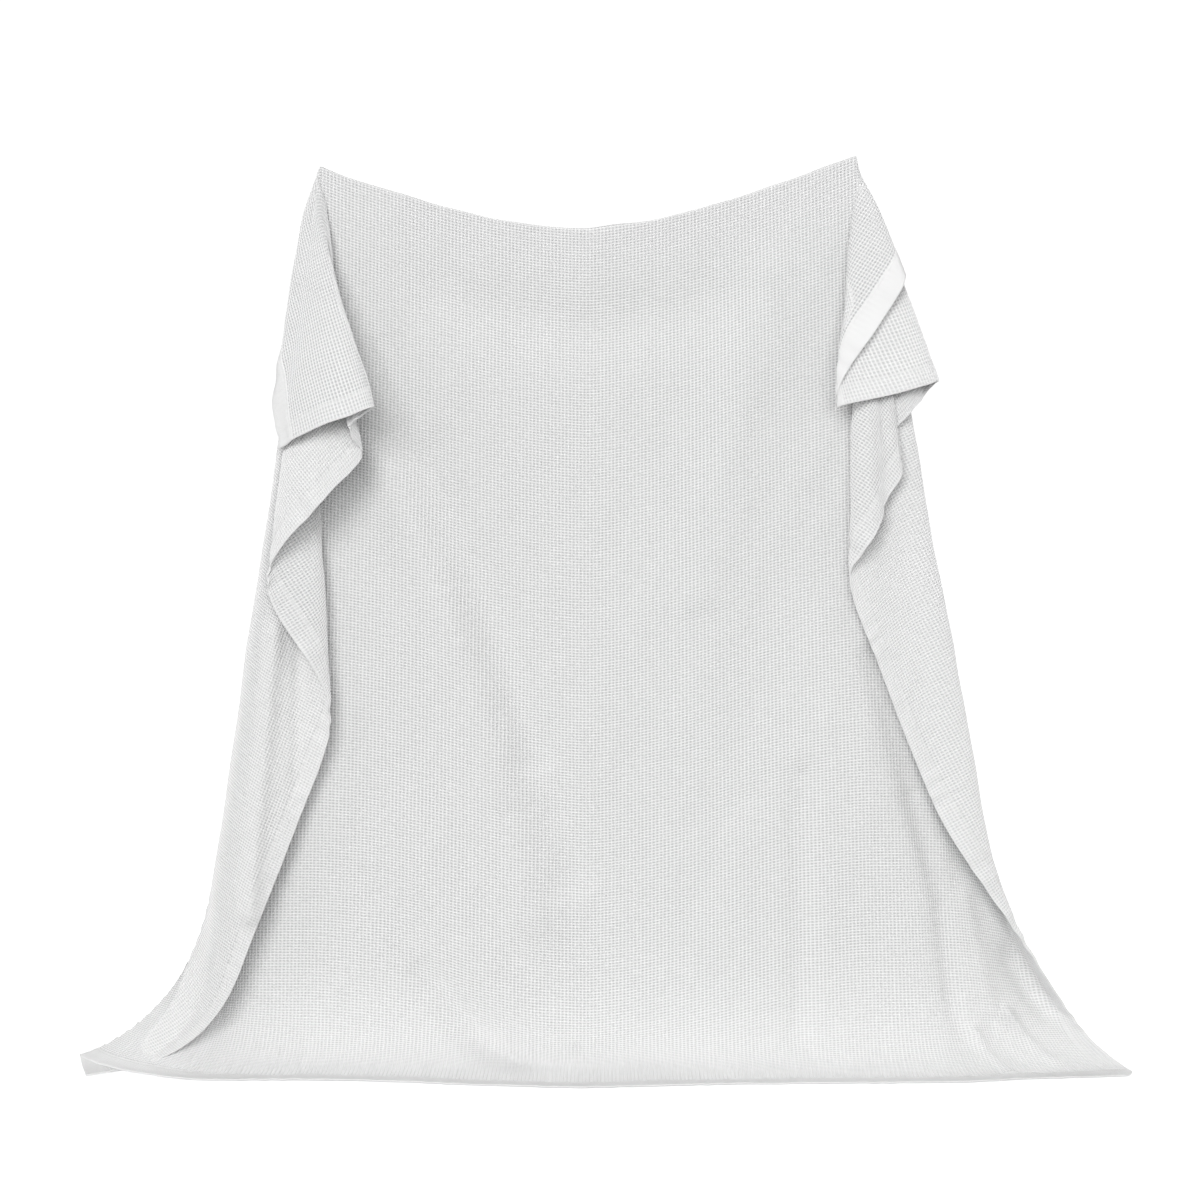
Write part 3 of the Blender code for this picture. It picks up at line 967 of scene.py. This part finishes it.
def floor_paint():
    """A plain pale floor, which glows a little so that soft shadows stay faint on it."""
    finish = Finish(bpy.data.materials.new("pale_floor"))
    place = finish.node("ShaderNodeTexCoord", output=3)
    tone = finish.node("ShaderNodeTexNoise", {}, {"Vector": place, "Scale": 0.7, "Detail": 1.0})
    finish.surface(
        Base_Color=finish.mixed(tone, *FLOOR_WHITES),
        Roughness=0.9,
        Specular_IOR_Level=0.0,
        Emission_Color=(1, 1, 1, 1),
        Emission_Strength=FLOOR_GLOW,
    )
    return finish.owner


# The room.

FLOOR_SIZE = 60.0
FLOOR_WHITES = ((0.93, 0.93, 0.93, 1), (0.95, 0.95, 0.95, 1))
FLOOR_GLOW = 0.52
CAMERA_PLACE = (0.025, -4.6, FLOOR + 1.0)
CAMERA_LENS = 63.0  # mm
SENSOR_WIDTH = 36.0
# Wide soft lights, each from a direction: to the right of the viewer and up, in degrees.
Lamp = namedtuple("Lamp", "name right up width strength")
LAMPS = (
    Lamp("main_light", -21, 25, 34, 1.55),
    Lamp("front_light", 10, 6, 40, 0.94),
    Lamp("left_light", -72, 12, 40, 0.36),
    Lamp("right_light", 72, 12, 40, 0.50),
    Lamp("back_light", 180, 18, 40, 2.10),
)
BACKGROUND = 1.1  # what the camera sees behind the blanket
LIGHT_ABOVE = 0.29  # what lights it from all round, above and below
LIGHT_BELOW = 0.33
LIGHT_BLEND = 0.2  # how far above and below the horizon the one fades into the other


def build_room():
    bpy.ops.mesh.primitive_plane_add(size=FLOOR_SIZE, location=(0, 0, FLOOR))
    floor = bpy.context.object
    floor.name = "floor"
    floor.data.materials.append(floor_paint())
    floor.visible_diffuse = False  # it throws no light up
    bpy.context.scene.world = studio_walls()
    for lamp in LAMPS:
        add_lamp(lamp)


def studio_walls():
    """White all round, and dimmer as a light than as a background: a little more of it comes from
    below, as it would off a pale floor."""
    walls = Finish(bpy.data.worlds.new("studio"), "Background")
    height = walls.part_of(walls.node("ShaderNodeTexCoord"), 2)
    light = walls.node(
        "ShaderNodeMapRange",
        {},
        {
            "Value": height,
            "From Min": -LIGHT_BLEND,
            "From Max": LIGHT_BLEND,
            "To Min": LIGHT_BELOW,
            "To Max": LIGHT_ABOVE,
        },
    )
    seen = walls.node("ShaderNodeLightPath")
    strength = walls.node("ShaderNodeMapRange", {}, {"Value": seen, "To Min": light, "To Max": BACKGROUND})
    walls.surface(Color=(1, 1, 1, 1), Strength=strength)
    return walls.owner


def add_lamp(lamp):
    """A soft light from far away, which falls evenly over the blanket and the floor."""
    light = bpy.data.lights.new(lamp.name, "SUN")
    light.angle = radians(lamp.width)
    light.energy = lamp.strength
    stand = bpy.data.objects.new(lamp.name, light)
    stand.rotation_euler = (radians(90 - lamp.up), 0, radians(lamp.right))
    bpy.context.scene.collection.objects.link(stand)


def add_camera():
    data = bpy.data.cameras.new("camera")
    data.lens = CAMERA_LENS
    data.sensor_width = SENSOR_WIDTH
    camera = bpy.data.objects.new("camera", data)
    camera.location = CAMERA_PLACE
    camera.rotation_euler = (radians(90), 0, 0)
    bpy.context.scene.collection.objects.link(camera)
    bpy.context.scene.camera = camera


def dressed(piece, material):
    """Gives a piece its finish and sets it on the blanket."""
    piece.data.materials.append(material)
    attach(piece, "root")
    return piece


def build_blanket():
    waffle, plain, thread = waffle_cotton(), plain_cotton(), sewing_thread()
    field = [dressed(piece, waffle) for piece in field_pieces()]
    sides = [
        dressed(side_hem("side_hem_left", 0, 1), waffle),
        dressed(side_hem("side_hem_right", WIDTH, -1), waffle),
    ]
    ends = [
        dressed(end_hem("end_hem_top", 0, 1), plain),
        dressed(end_hem("end_hem_bottom", LENGTH, -1), plain),
    ]
    sewing = dressed(stitches(), thread)
    for piece in field:
        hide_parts("blanket")


bpy.ops.object.select_all(action="DESELECT")
build_blanket()
build_room()
add_camera()
bpy.context.scene.view_settings.view_transform = "Standard"
